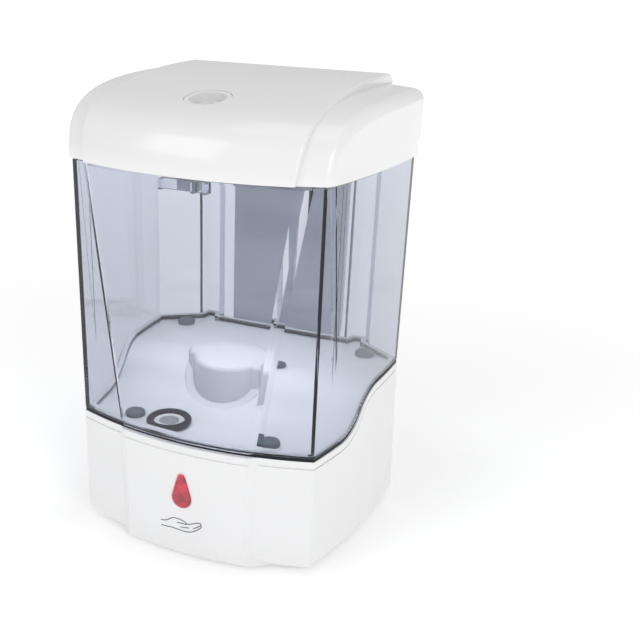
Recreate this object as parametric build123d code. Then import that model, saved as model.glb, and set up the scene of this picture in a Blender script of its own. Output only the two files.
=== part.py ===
from build123d import *
import math
import os

# Wall mounted automatic soap dispenser: a white electronics base, a smoky clear soap tank and a white
# hinged lid, hung on a small wall bracket.
# Lengths are in millimetres. The model is drawn with Z = 0 at the underside of the base, the front facing
# -Y, the wall at WALL_Y and the object symmetric about X = 0. On export everything is moved so that the
# origin is the centre of the bracket's back face.

# ---- driving dimensions ----
HEIGHT = 195.0          # underside of the base to the top of the lid
ORIGIN_Z = 108.0        # height of the bracket's centre above the underside
WALL_Y = 4.0            # plane of the wall

# plan outline, shared by tank and base (right half; the left half mirrors it)
FRONT_Y = -106.8        # side fields of the front, on the centre line
CORNER = (54.0, -97.2)  # sharp front corner
FLANK = (60.8, -60.0)   # a point on the bowed side
WIDEST = (63.2, -18.0)  # widest corner
REAR = (45.5, -5.2)     # where the slanted back corner meets the back
BACK = (44.0, 1.5)      # end of the straight back
RECESS = (34.0, 32.0, -3.4)  # half widths and depth of the tank's rear channel
PANEL_PROUD = 1.3       # raised front panel on the tank
BASE_PANEL_PROUD = 2.0  # the same panel on the base

# heights
SEAM_LOW = 54.8         # seam between base and tank along the front
SEAM_HIGH = 71.0        # the same seam along the back
SEAM_START = -78.0      # the side seam rises between these two Y positions
SEAM_END = -44.0
TANK_RIM = 170.6
RIM_STEP = 1.2          # the rim under the lid is set in by this much
LID_EDGE = 164.4

# walls
TANK_WALL = 2.6
TANK_FLOOR = 2.2
SHELL_WALL = 2.5
LID_WALL = 2.2
FIT_GAP = 0.3
SEAL_HEIGHT = 1.6
BASE_FLARE = 2.4        # how much the base widens towards its underside

# raised panel's half widths, from the lid down to the underside
PANEL_LID_TOP = 46.4
PANEL_LID_EDGE = 43.9
PANEL_SEAM = 29.0
PANEL_BOTTOM = 27.2
PANEL_LEAN = 1.2        # the panel's sides lean out this far for each millimetre of depth
SLAB_Y = (-115.0, -85.0)  # the slab that bounds the panel runs between these

# lid
LID_OVER = 1.8          # overhang past the tank's sides
LID_FRONT = -109.9      # side fields of the lid's front
LID_PANEL_FRONT = -111.9
BOW_RADIUS = 140.0      # bow of the lid's front, seen from above
SHELF_Z = 191.2         # lower shelves each side of the lid's plateau
SHELF_ROUNDING = 5.0
PLATEAU_ROUNDING = 1.0
HINGE_Y = -9.6
HINGE_Z = 183.0
HINGE_R = 12.0          # the lid's back edge is an arc about the hinge pins
EAR_X = (34.0, 38.0)
PIN_R = 1.5
LUG_X = (28.4, 33.4)
LOCK_Y = -85.2
LOCK_Z = 189.6
LOCK_TILT = 11.0
LOCK_R = 9.3

# dome in the tank floor, over the motor
DOME = (-5.0, -51.0)
DOME_R = 17.5
DOME_LUG = (-18.0, -50.0, 8.5)
DOME_FLAT_X = 13.5
DOME_TOP = 72.6
FLOOR_PLUG = (17.0, -47.0)

# pump
MOTOR_R = 12.2
MOTOR_Z = (40.0, 65.5)
HEAD_Z = (12.5, 29.0)   # pump housing
GEAR_CENTRES = 15.0
GEAR_Z = 32.0
SHAFT_R = 2.0
GEAR_MODULE = 0.5
PINION_TEETH = 12
GEAR_TEETH = 48
LOOP_R = 14.5           # centre line of the tube round the rotor
LOOP_Z = 21.0
TUBE_R = 3.0
TUBE_BORE = 1.5
ROLLER_R = 3.5
ROLLER_COUNT = 3
PORT = (-14.7, -91.5)   # tank outlet
NOZZLE_Y = -91.0

# screws on the tank floor, half spacing and Y
FRONT_SCREWS = (31.9, -90.5)
REAR_SCREWS = (46.3, -17.6)

# batteries stand upright behind the pump
CELL_R = 7.15
CELL_LENGTH = 50.0
CELL_PITCH = 14.9
CELL_Y = -17.6
CELL_Z = 6.0

# wall bracket
BRACKET_W = 48.0
BRACKET_H = 104.0
BRACKET_T = 2.0
BRACKET_HOLES = (30.0, 70.0, 2.25)  # spacing along X and Z, hole radius
HOOK_W = 12.0
HOOK_Z = (65.0, 152.0)
HOOK_TIP = (-2.9, -0.9)
WEB_Y = (-0.5, 1.5)     # the back cover's web, hung on the hooks

BIG = 400.0


# ---- helpers ----
def block(x0, x1, y0, y1, z0, z1):
    """A box between two corners."""
    size = (x1 - x0, y1 - y0, z1 - z0)
    return Pos((x0 + x1) / 2, (y0 + y1) / 2, (z0 + z1) / 2) * Box(*size)


def rod(x, y, z0, z1, radius):
    """An upright cylinder."""
    return Pos(x, y, (z0 + z1) / 2) * Cylinder(radius, z1 - z0)


def rod_x(x0, x1, y, z, radius):
    """A cylinder lying along X."""
    return Pos((x0 + x1) / 2, y, z) * Rot(0, 90, 0) * Cylinder(radius, x1 - x0)


def pair(shape):
    """A shape and its mirror image across the middle plane."""
    return [shape, mirror(shape, Plane.YZ)]


def group(shapes):
    """Several separate solids as one node."""
    return Compound(children=[s for shape in shapes for s in shape.solids()])


def side_prism(points, x0, x1):
    """A straight-sided outline of (Y, Z) points, extruded along X."""
    face = make_face(Polyline(*[(0, y, z) for y, z in points], close=True))
    return Pos(x0, 0, 0) * extrude(face, x1 - x0, dir=(1, 0, 0))


def plan(front=FRONT_Y, grow=0.0, channel=True, flare=0.0):
    """The outline from above as a face, with the rear channel or a plain back."""
    cx, cy = CORNER
    wx, wy = WIDEST
    rx, ry = REAR
    fx, fy = FLANK
    half = [
        ThreePointArc((cx + flare * 0.3, cy), (fx + flare, fy), (wx + flare, wy)),
        Line((wx + flare, wy), (rx, ry)),
    ]
    half.append(Line((rx, ry), BACK))
    end = BACK
    if channel:
        outer, inner, deep = RECESS
        half += [Line(BACK, (outer, BACK[1])), Line((outer, BACK[1]), (inner, deep))]
        end = (inner, deep)
    left = [mirror(edge, Plane.YZ) for edge in half]
    nose = ThreePointArc((-cx - flare * 0.3, cy), (0, front), (cx + flare * 0.3, cy))
    back = Line(end, (-end[0], end[1]))
    face = make_face([nose, *half, back, *left])
    if grow:
        face = offset(face, grow, kind=Kind.INTERSECTION)
    return face


def prism(face, z0, z1):
    """A flat outline extruded between two heights."""
    return Pos(0, 0, z0) * extrude(face, z1 - z0)


def above_seam(shift=0.0):
    """Everything above the seam surface, which is low in front and rises in an S along the sides."""
    low, high = SEAM_LOW + shift, SEAM_HIGH + shift
    run, rise = SEAM_END - SEAM_START, high - low
    radius = (run**2 + rise**2) / (4 * rise)
    half_angle = math.asin(run / 2 / radius) / 2
    mid = ((SEAM_START + SEAM_END) / 2, (low + high) / 2)
    dip = (radius * math.sin(half_angle), radius * (1 - math.cos(half_angle)))
    first = ThreePointArc((SEAM_START, low), (SEAM_START + dip[0], low + dip[1]), mid)
    second = ThreePointArc(mid, (SEAM_END - dip[0], high - dip[1]), (SEAM_END, high))
    edges = [
        Line((-BIG, low), (SEAM_START, low)),
        first,
        second,
        Line((SEAM_END, high), (BIG, high)),
        Line((BIG, high), (BIG, BIG)),
        Line((BIG, BIG), (-BIG, BIG)),
        Line((-BIG, BIG), (-BIG, low)),
    ]
    face = Plane.YZ * make_face(edges)
    return extrude(face, BIG, both=True)


def below_seam(shift=0.0):
    return Box(2 * BIG, 2 * BIG, 2 * BIG) - above_seam(shift)


def front_at(x, proud):
    """Y of the front's bow at a given X, moved forward by proud."""
    sag = CORNER[1] - FRONT_Y
    radius = (CORNER[0]**2 + sag**2) / (2 * sag)
    return FRONT_Y - proud + radius - math.sqrt(radius**2 - x**2)


def tapered_slab(z_top, half_top, z_bottom, half_bottom, proud):
    """A slab that cuts out the raised panel: its sides taper, and lean out towards the back."""
    faces = []
    for y in SLAB_Y:
        low = half_bottom + PANEL_LEAN * (y - front_at(half_bottom, proud))
        high = half_top + PANEL_LEAN * (y - front_at(half_top, proud))
        corners = [(-low, z_bottom), (low, z_bottom), (high, z_top), (-high, z_top)]
        faces.append(Plane.XZ.offset(-y) * make_face(Polyline(*corners, close=True)))
    return loft(faces, ruled=True)


def dome_plan(grow):
    """Outline of the dome: a round drum with a small round lug on its left and a flat right end."""
    drum = Pos(*DOME) * Circle(DOME_R + grow)
    lug = Pos(DOME_LUG[0], DOME_LUG[1]) * Circle(DOME_LUG[2] + grow)
    flat_w = DOME_FLAT_X + grow - DOME[0]
    flat = Pos(DOME[0] + flat_w / 2, DOME[1] + 1) * Rectangle(flat_w, 2 * (10.5 + grow))
    return (drum + lug + flat).face()


# ---- tank ----
def tank():
    """Smoky clear tank: thin walls, S-shaped floor, dome, catch window, outlet and hinge ears."""
    walls = prism(plan(), SEAM_LOW - 10, LID_EDGE - 1) & above_seam()
    walls += prism(plan(grow=-RIM_STEP), LID_EDGE - 2, TANK_RIM)
    panel = Pos(0, -PANEL_PROUD, 0) * prism(plan(), SEAM_LOW - 10, LID_EDGE - 1) & above_seam()
    panel += prism(plan(front=FRONT_Y - PANEL_PROUD, grow=-RIM_STEP), LID_EDGE - 2, TANK_RIM)
    slope = (PANEL_LID_EDGE - PANEL_SEAM) / (LID_EDGE - SEAM_LOW)
    panel_top = PANEL_SEAM + slope * (TANK_RIM - SEAM_LOW)
    panel &= tapered_slab(TANK_RIM, panel_top, SEAM_LOW, PANEL_SEAM, PANEL_PROUD)
    floor_top = -1.3
    plug = prism(plan(grow=-SHELL_WALL - FIT_GAP), SEAM_LOW - 10, SEAM_HIGH + 5)
    plug = plug & above_seam(floor_top - TANK_FLOOR) & below_seam(1.0)
    room = prism(plan(grow=-TANK_WALL), 0, TANK_RIM + 1) & above_seam(1.2)
    front_room = Pos(0, -PANEL_PROUD, 0) * prism(plan(grow=-TANK_WALL), 0, LID_EDGE - 2)
    front_room += prism(plan(front=FRONT_Y - PANEL_PROUD, grow=-TANK_WALL), LID_EDGE - 2, TANK_RIM + 1)
    narrow, wide = PANEL_SEAM - TANK_WALL, panel_top - TANK_WALL
    front_room &= tapered_slab(TANK_RIM + 1, wide, SEAM_LOW, narrow, PANEL_PROUD)
    front_room &= above_seam(1.2)
    basin = prism(plan(grow=-TANK_WALL - 2.2), 0, SEAM_HIGH + 5) & above_seam(floor_top)
    body = walls + panel + plug - room - front_room - basin

    dome = prism(dome_plan(0), SEAM_LOW, DOME_TOP)
    dome = fillet(dome.faces().sort_by(Axis.Z)[-1].edges(), 1.6)
    dome &= above_seam(floor_top - TANK_FLOOR)
    under = prism(dome_plan(-TANK_FLOOR), SEAM_LOW - 10, DOME_TOP - TANK_FLOOR)
    body = body + dome - under

    for x, y in screw_places():
        body -= rod(x, y, SEAM_LOW - 10, SEAM_HIGH + 10, 1.7)
    body -= rod(*PORT, SEAM_LOW - 10, SEAM_LOW + 2, 5.5)
    body -= rod(*FLOOR_PLUG, SEAM_LOW, DOME_TOP, 1.95)
    return body + keeper() + hinge_ears()


def screw_places():
    """Centres of the four screws that hold the tank down."""
    spots = [FRONT_SCREWS, REAR_SCREWS]
    return [(side * x, y) for x, y in spots for side in (-1, 1)]


def floor_height(y):
    """Top of the tank floor at a given Y, on its two flat stretches."""
    return (SEAM_LOW if y < SEAM_START else SEAM_HIGH) - 1.3


KEEPER_X = 10.0
KEEPER_Z = (158.0, 162.0)
KEEPER_Y = (-103.2, -101.4)


def keeper():
    """Rectangular catch frame on the inside of the tank's front wall."""
    wall = FRONT_Y - PANEL_PROUD + TANK_WALL
    frame = block(-KEEPER_X, KEEPER_X, wall - 0.6, KEEPER_Y[1], *KEEPER_Z)
    hole = block(-KEEPER_X + 1.6, 3.6, wall, KEEPER_Y[0], KEEPER_Z[0] - 1, KEEPER_Z[1] + 1)
    hole += block(5.2, KEEPER_X - 1.6, wall, KEEPER_Y[0], KEEPER_Z[0] - 1, KEEPER_Z[1] + 1)
    return frame - hole


def hinge_ears():
    """Two ribs inside the back of the tank, each ending in an eye for a hinge pin."""
    back = BACK[1] - TANK_WALL + 0.4
    near, far = HINGE_Y + 4.2, HINGE_Y - 4.2
    rib = [(back, 150), (back, TANK_RIM), (near, TANK_RIM), (near, HINGE_Z), (far, HINGE_Z), (far, 162)]
    ear = side_prism(rib, *EAR_X) + rod_x(*EAR_X, HINGE_Y, HINGE_Z, 4.2)
    ear -= rod_x(EAR_X[0] - 1, EAR_X[1] + 1, HINGE_Y, HINGE_Z, PIN_R + 0.06)
    both = pair(ear)
    return both[0] + both[1]


def seam_seal():
    """Thin dark seal along the seam, between the base's rim and the tank's walls."""
    ring = prism(plan(grow=-0.15), 0, BIG / 2) - prism(plan(grow=-SHELL_WALL + 0.1), 0, BIG / 2)
    return ring & above_seam(-SEAL_HEIGHT) & below_seam(0)


# ---- base ----
DECK_GAP = 1.3 + TANK_FLOOR + FIT_GAP
DECK_T = 2.0
COVER_T = 2.5
OPENING_IN = 6.5        # the bottom opening is this far inside the base's outline
BACK_OPENING = 43.0


def base_block(inset=0.0):
    """The base's outer form, flared on its sides, with its lower edge rounded; inset gives its inside."""
    lower = Pos(0, 0, inset) * plan(channel=False, flare=BASE_FLARE, grow=-inset)
    upper = Pos(0, 0, SEAM_HIGH + 6) * plan(channel=False, grow=-inset)
    return loft([lower, upper], ruled=True)


def rounded_bottom(solid, radius):
    """Rounds the lowest edges of a solid, apart from the straight one at the back."""
    edges = solid.faces().sort_by(Axis.Z)[0].edges()
    return fillet([e for e in edges if e.center().Y < -15], radius)


def base_shell():
    """White base: outer skin with its raised panel, and the deck that the tank stands on."""
    body = rounded_bottom(base_block(), 6.5)
    panel = Pos(0, -BASE_PANEL_PROUD, 0) * rounded_bottom(prism(plan(channel=False), 0, SEAM_HIGH), 3.0)
    panel &= tapered_slab(SEAM_LOW, PANEL_SEAM, 0, PANEL_BOTTOM, BASE_PANEL_PROUD)
    body = (body + panel) & below_seam(-SEAL_HEIGHT)

    body -= base_block(SHELL_WALL) & below_seam(-DECK_GAP - DECK_T)
    body -= prism(plan(grow=-SHELL_WALL), 0, BIG / 2) & above_seam(-DECK_GAP)
    bump = prism(dome_plan(-TANK_FLOOR - FIT_GAP), SEAM_LOW - 12, DOME_TOP - TANK_FLOOR - FIT_GAP)
    bump -= prism(dome_plan(-TANK_FLOOR - FIT_GAP - 1.8), 0, DOME_TOP - TANK_FLOOR - FIT_GAP - 1.8)
    bump &= above_seam(-DECK_GAP - DECK_T)
    body -= prism(dome_plan(-TANK_FLOOR - FIT_GAP - 1.8), SEAM_LOW - 12, SEAM_HIGH)
    body += bump

    opening = plan(channel=False, flare=BASE_FLARE, grow=-OPENING_IN)
    body -= prism(opening, -1, SHELL_WALL + 1)
    body -= block(-BACK_OPENING, BACK_OPENING, WEB_Y[0] - 0.5, 5, -1, SEAM_HIGH + 5)
    body -= block(-HOOK_W / 2 - 1, HOOK_W / 2 + 1, HOOK_TIP[0] - 0.6, 5, 40, SEAM_HIGH + 5)

    body += screw_bosses()
    for x, y in screw_places():
        body -= rod(x, y, floor_height(y) - 16, floor_height(y), 1.3)
    body -= rod(*PORT, SEAM_LOW - 12, SEAM_LOW, 5.5)
    body -= extrude(Plane.XZ.offset(95) * drop_outline(0.15), 30)
    return body - groove()


def screw_bosses():
    """Posts under the deck for the tank screws, and posts for the bottom cover's screws."""
    posts = None
    for x, y in screw_places():
        top = floor_height(y) - TANK_FLOOR - FIT_GAP - 0.5
        post = rod(x, y, top - 14, top, 3.6)
        posts = post if posts is None else posts + post
    for x, y in cover_screw_places():
        posts += rod(x, y, COVER_T + 0.3, 24, 3.4) + web_to_wall(x, y)
    for x, y in cover_screw_places():
        posts -= rod(x, y, 0, 16, 1.2)
    return posts


def cover_screw_places():
    return [(side * x, y) for x, y in ((46.0, -84.0), (52.5, -32.0)) for side in (-1, 1)]


def web_to_wall(x, y):
    """A rib that ties a screw post to the side of the shell."""
    wall = math.copysign(abs(x) + (11.5 if y < -60 else 10.8), x)
    return block(min(x, wall), max(x, wall), y - 1, y + 1, 4, 24)


def groove():
    """Fine groove round the base, 4 mm below the seam."""
    outside = prism(plan(front=FRONT_Y - 8, grow=6, channel=False), 0, BIG / 2)
    field = outside - prism(plan(grow=-0.35, channel=False), 0, BIG / 2)
    cut = tapered_slab(SEAM_LOW, PANEL_SEAM, 0, PANEL_BOTTOM, BASE_PANEL_PROUD)
    field -= cut
    panel = outside - Pos(0, -BASE_PANEL_PROUD, 0) * prism(plan(grow=-0.35, channel=False), 0, BIG / 2)
    panel &= cut
    band = above_seam(-SEAL_HEIGHT - 3.6) & below_seam(-SEAL_HEIGHT - 3.0)
    return (field + panel) & band & block(-BIG, BIG, -BIG, WIDEST[1] - 2, 0, BIG)


def drop_outline(grow=0.0):
    """Teardrop of the indicator lens, in X and Z."""
    small, large = 1.7 + grow, 4.4 + grow
    low, high = 28.7, 38.4
    lean = math.asin((large - small) / (high - low))
    sides = [
        (large * math.cos(lean), low + large * math.sin(lean)),
        (small * math.cos(lean), high + small * math.sin(lean)),
    ]
    mirrored = [(-x, z) for x, z in reversed(sides)]
    body = make_face(Polyline(*sides, *mirrored, close=True))
    return body + Pos(0, low) * Circle(large) + Pos(0, high) * Circle(small)


def drop_lens():
    """Red lens, filling the teardrop hole and standing slightly proud."""
    lens = extrude(Plane.XZ.offset(102) * drop_outline(), 15)
    return lens & Pos(0, -BASE_PANEL_PROUD - 0.6, 0) * prism(plan(channel=False), 0, 60)


def bottom_cover():
    """Underside plate with openings for the nozzle, sensor window, switch, batteries and screws."""
    outline = plan(channel=False, flare=BASE_FLARE, grow=-OPENING_IN - 0.25)
    plate = prism(outline, 0.6, COVER_T)
    plate &= block(-BIG, BIG, -BIG, WEB_Y[0] - 0.8, -1, 10)
    plate -= rod(0, NOZZLE_Y, 0, 4, 6.25)
    plate -= block(-13, 13, -82.3, -75.7, 0, 4)
    plate -= block(*DOOR_X, *DOOR_Y, 0, 4)
    plate -= block(*SWITCH_SLOT_X, *SWITCH_SLOT_Y, 0, 4)
    for x, y in cover_screw_places():
        plate -= rod(x, y, 0, 4, 1.7)
        plate -= rod(x, y, 0, 1.5, 2.9)
    return plate


# ---- back ----
def back_cover():
    """Back wall of the base with a tall web behind the tank that hangs on the bracket's hooks."""
    lower = block(-42.7, 42.7, *WEB_Y, 0.6, SEAM_HIGH - SEAL_HEIGHT)
    web = block(-28, 28, *WEB_Y, SEAM_HIGH - 3, 165)
    body = lower + web
    for side in pair(block(26, 28, WEB_Y[1] - 0.5, WALL_Y - 0.5, SEAM_HIGH + 2, 165)):
        body += side
    for z in HOOK_Z:
        body -= block(-HOOK_W / 2 - 0.4, HOOK_W / 2 + 0.4, WEB_Y[0] - 1, WEB_Y[1] + 1, z - 13, z + 0.1)
    for x, z in back_screw_places():
        body -= rod_y(x, z, WEB_Y[0] - 1, WEB_Y[1] + 1, 1.7)
        body += rod_y(x, z, WEB_Y[0], WEB_Y[1], 3.2) - rod_y(x, z, WEB_Y[0] - 1, WEB_Y[1] + 1, 1.7)
    return body


def rod_y(x, z, y0, y1, radius):
    """A cylinder lying along Y."""
    return Pos(x, (y0 + y1) / 2, z) * Rot(90, 0, 0) * Cylinder(radius, y1 - y0)


def back_screw_places():
    return [(side * 36.5, z) for side in (-1, 1) for z in (14.0, 50.0)]


def wall_bracket():
    """Flat wall plate with four screw holes and two upturned hooks."""
    z0, z1 = ORIGIN_Z - BRACKET_H / 2, ORIGIN_Z + BRACKET_H / 2
    face = WALL_Y - BRACKET_T
    plate = block(-BRACKET_W / 2, BRACKET_W / 2, face, WALL_Y, z0, z1)
    plate = fillet(plate.edges().filter_by(Axis.Y), 4)
    for z in HOOK_Z:
        arm = block(-HOOK_W / 2, HOOK_W / 2, HOOK_TIP[0], face + 0.2, z - 3, z)
        tongue = block(-HOOK_W / 2, HOOK_W / 2, *HOOK_TIP, z - 1, z + 6)
        plate += arm + tongue
    sx, sz, r = BRACKET_HOLES
    for x in (-sx / 2, sx / 2):
        for z in (ORIGIN_Z - sz / 2, ORIGIN_Z + sz / 2):
            plate -= rod_y(x, z, face - 1, WALL_Y + 1, r)
    return plate


# ---- lid ----
def revolved(curve, inset):
    """A (Y, Z) profile with one smooth top edge, turned about the upright axis of the front's bow."""
    low, steps = LID_EDGE - 5, 14
    top = Spline(*curve)
    if inset:
        places = [(top @ (i / steps), top % (i / steps)) for i in range(steps + 1)]
        top = Spline(*[(at.X - inset * along.Y, at.Y + inset * along.X) for at, along in places])
    back, front = top @ 0, top @ 1
    rest = Polyline(front, (front.X, low), (back.X, low), back)
    face = make_face([top, *rest.edges()])
    axis = Axis((0, LID_PANEL_FRONT + BOW_RADIUS, 0), (0, 0, 1))
    return revolve((Plane.YZ * face).rotate(axis, -LID_TURN / 2), axis, LID_TURN)


BACK_REACH = 12.0
LID_TURN = 130.0
SHELF_CURVE = [
    (BACK_REACH, SHELF_Z), (-50, SHELF_Z), (-74, 190.3), (-88, 188.4), (-98, 185.2), (-105, 180.2),
    (-108.6, 173.5), (LID_FRONT, LID_EDGE),
]
TOP_CURVE = [
    (BACK_REACH, HEIGHT), (-40, HEIGHT), (-62, 193.7), (-84, 190.0), (-98, 186.6), (-106.4, 181.8),
    (-110.2, 175.0), (LID_PANEL_FRONT, LID_EDGE),
]


def lid_body(inset=0.0):
    """The lid's outer form, or with an inset its inside: two low shelves and a raised plateau."""
    low = LID_EDGE - (1.0 if inset else 0.0)
    outline = plan(front=LID_FRONT - 3, grow=LID_OVER - inset, channel=False)
    sides = prism(outline, low, HEIGHT + 1)
    if not inset:
        sides = fillet([e for e in sides.edges().filter_by(Axis.Z) if e.center().Y < -90], 7)
    shelf = sides & revolved(SHELF_CURVE, inset)
    plateau = sides & revolved(TOP_CURVE, inset) & plateau_slab(inset)
    if not inset:
        shelf = fillet([e for e in shelf.edges() if rounded_edge(e, 50)], SHELF_ROUNDING)
        plateau = fillet([e for e in plateau.edges() if rounded_edge(e, 40)], PLATEAU_ROUNDING)
    return (shelf + plateau) & back_limit(inset)


def rounded_edge(edge, beyond):
    """Whether an edge runs along the top at the sides, further out than the given X."""
    at, along = edge.center(), edge.tangent_at(0.5)
    return at.Z > 172 and abs(at.X) > beyond and abs(along.Z) < 0.9


def plateau_slab(inset):
    """Tapering slab that bounds the plateau and the raised front panel."""
    step = inset * 0.6
    corners = [
        (PANEL_LID_EDGE - step, LID_EDGE - 2),
        (PANEL_LID_TOP - step, 184),
        (PANEL_LID_TOP - step, HEIGHT + 5),
    ]
    mirrored = [(-x, z) for x, z in reversed(corners)]
    face = Plane.XZ * make_face(Polyline(*corners, *mirrored, close=True))
    return extrude(face, BIG, both=True)


REAR_EDGE_Z = 172.0
SKIRT_END_Y = -19.5


def back_limit(inset):
    """Side profile of the lid's back: an arc about the hinge, and a lower edge that steps up behind."""
    r = HINGE_R - inset
    drum = rod_x(-BIG / 2, BIG / 2, HINGE_Y, HINGE_Z, r)
    front = block(-BIG, BIG, -BIG, HINGE_Y, LID_EDGE - 2, HEIGHT + 5)
    limit = front + drum
    return limit - block(-BIG, BIG, SKIRT_END_Y, BIG, 0, REAR_EDGE_Z)


def lid():
    """White lid: shell, hinge lugs, latch posts and the stepped hole for the lock cup."""
    shell = lid_body() - lid_body(LID_WALL)
    for notch in pair(block(EAR_X[0] - 0.6, EAR_X[1] + 0.6, HINGE_Y - 1, 5, REAR_EDGE_Z - 3, HINGE_Z + 3)):
        shell -= notch
    near, far = HINGE_Y + 4.5, HINGE_Y - 4.5
    lug = side_prism([(far, HINGE_Z), (near, HINGE_Z), (near, 193.6), (far, 193.6)], *LUG_X)
    lug += rod_x(*LUG_X, HINGE_Y, HINGE_Z, 4.5)
    lug -= rod_x(LUG_X[0] - 1, LUG_X[1] + 1, HINGE_Y, HINGE_Z, PIN_R)
    for side in pair(lug):
        shell += side
    post = side_prism([(-79, 189.6), (-79, 175.5), (-73, 175.5), (-73, 190.6)], 5.2, 7.4)
    for side in pair(post):
        shell += side
    shell -= rod_x(-9, 9, *LATCH_PIVOT, LATCH_PIN_R)
    shell -= lock_frame() * Pos(0, 0, -5) * Cylinder(8.2, 14)
    shell -= lock_frame() * Pos(0, 0, 4.1) * Cylinder(LOCK_R, 10)
    return shell


def lock_frame():
    """Place and tilt of the lock cup on the lid's front slope."""
    return Pos(0, LOCK_Y, LOCK_Z) * Rot(LOCK_TILT, 0, 0)


def lock_cup():
    """Round cup let into the lid, with a small key hole in its floor."""
    flange = Pos(0, 0, -0.5) * Cylinder(LOCK_R - 0.15, 0.7)
    cup = Pos(0, 0, -2.8) * Cylinder(8.05, 4.6)
    hollow = Pos(0, 0, -1.5) * Cylinder(7.2, 4.4)
    ring = Pos(0, 0, -3.4) * (Cylinder(4.4, 1.2) - Cylinder(3.6, 1.2))
    hole = Pos(0, 0, -3) * Cylinder(2.4, 8)
    return lock_frame() * (flange + cup - hollow + ring - hole)


LATCH_PIVOT = (-76.0, 178.4)
LATCH_PIN_R = 1.2
LATCH_HALF = 4.6


def latch_lever():
    """Lever under the lock cup: pressed by the key, it swings its finger back from the keeper."""
    py, pz = LATCH_PIVOT
    outline = [
        (-68, 176.8), (-68, 179.4), (-90, 179.6), (-97.4, 175.2), (-99.9, 171.5), (-99.9, 157.4),
        (-98.0, 157.4), (-97.4, 171), (-95.2, 173.2), (-88, 176.8),
    ]
    lever = side_prism(outline, -LATCH_HALF, LATCH_HALF) + rod_x(-LATCH_HALF, LATCH_HALF, py, pz, 2.6)
    return lever - rod_x(-LATCH_HALF - 1, LATCH_HALF + 1, py, pz, LATCH_PIN_R + 0.06)


def coil(x, y, z0, z1, radius, wire, turns):
    """An upright coil spring."""
    height = z1 - z0 - 2 * wire
    path = Helix(height / turns, height, radius, center=(x, y, z0 + wire))
    section = Plane(path @ 0, z_dir=path % 0) * Circle(wire)
    return sweep(section, path=path)


def latch_spring():
    return coil(0, -70.2, 179.6, 189.8, 2.2, 0.35, 5)


# ---- pump ----
ROTOR_X = PORT[0] + LOOP_R
ROTOR_Y = DOME[1] - math.sqrt(GEAR_CENTRES**2 - (ROTOR_X - DOME[0])**2)
HEAD_R = 19.5
ROLLER_AXIS_R = LOOP_R - TUBE_R - ROLLER_R - 0.3


def gear(teeth, width, turn, bore):
    """A spur gear with straight-flanked teeth, centred on the origin."""
    pitch = teeth * GEAR_MODULE / 2
    root, tip = pitch - 1.2 * GEAR_MODULE, pitch + 0.9 * GEAR_MODULE
    step = 360 / teeth
    corners = []
    for i in range(teeth):
        a = i * step + turn
        for radius, share in ((root, -0.36), (tip, -0.13), (tip, 0.13), (root, 0.36)):
            t = math.radians(a + share * step)
            corners.append((radius * math.cos(t), radius * math.sin(t)))
    wheel = extrude(make_face(Polyline(*corners, close=True)), width)
    return wheel - Pos(0, 0, width / 2) * Cylinder(bore, width + 2)


def mesh_angle():
    """Direction from the rotor's axis to the motor's, in degrees."""
    return math.degrees(math.atan2(DOME[1] - ROTOR_Y, DOME[0] - ROTOR_X))


def tube_path():
    """Centre line of the tube: down from the outlet, round the rotor, forward, and down to the nozzle."""
    left, right = ROTOR_X - LOOP_R, ROTOR_X + LOOP_R
    bend = 6.0
    entry = FilletPolyline(
        (left, PORT[1], 46.5), (left, PORT[1], LOOP_Z), (left, ROTOR_Y, LOOP_Z), radius=bend
    )
    loop = ThreePointArc(
        (left, ROTOR_Y, LOOP_Z), (ROTOR_X, ROTOR_Y + LOOP_R, LOOP_Z), (right, ROTOR_Y, LOOP_Z)
    )
    leave = FilletPolyline(
        (right, ROTOR_Y, LOOP_Z), (right, NOZZLE_Y, LOOP_Z), (0, NOZZLE_Y, LOOP_Z), (0, NOZZLE_Y, 6.5),
        radius=bend,
    )
    return Wire([*entry.edges(), *loop.edges(), *leave.edges()])


def pump_tube():
    """Silicone tube, drawn unsqueezed, just clear of the rollers."""
    path = tube_path()
    start = Plane((PORT[0], PORT[1], 46.5), z_dir=(0, 0, -1))
    ring = start * (Circle(TUBE_R) - Circle(TUBE_BORE))
    return sweep(ring, path=path)


def pump_housing():
    """Round pump head, open above, with a track for the tube and two slots where it enters and leaves."""
    z0, z1 = HEAD_Z
    floor = z0 + 2.5
    body = rod(ROTOR_X, ROTOR_Y, z0, z1, HEAD_R)
    for x, y in head_feet():
        body += rod(x, y, COVER_T, z1, 3.0)
    body -= rod(ROTOR_X, ROTOR_Y, floor, z1 + 1, LOOP_R + TUBE_R + 0.2)
    for x in (ROTOR_X - LOOP_R, ROTOR_X + LOOP_R):
        body -= block(x - TUBE_R - 0.4, x + TUBE_R + 0.4, ROTOR_Y - 30, ROTOR_Y, floor, z1 + 1)
    body += rod(ROTOR_X, ROTOR_Y, floor - 0.5, floor + 1.5, 4.0)
    return body - rod(ROTOR_X, ROTOR_Y, z0 + 1, floor + 3, SHAFT_R + 0.06)


def head_feet():
    return [(ROTOR_X - 21.6, ROTOR_Y - 3), (ROTOR_X + 21.6, ROTOR_Y - 3), (ROTOR_X, ROTOR_Y + 20.5)]


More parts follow.
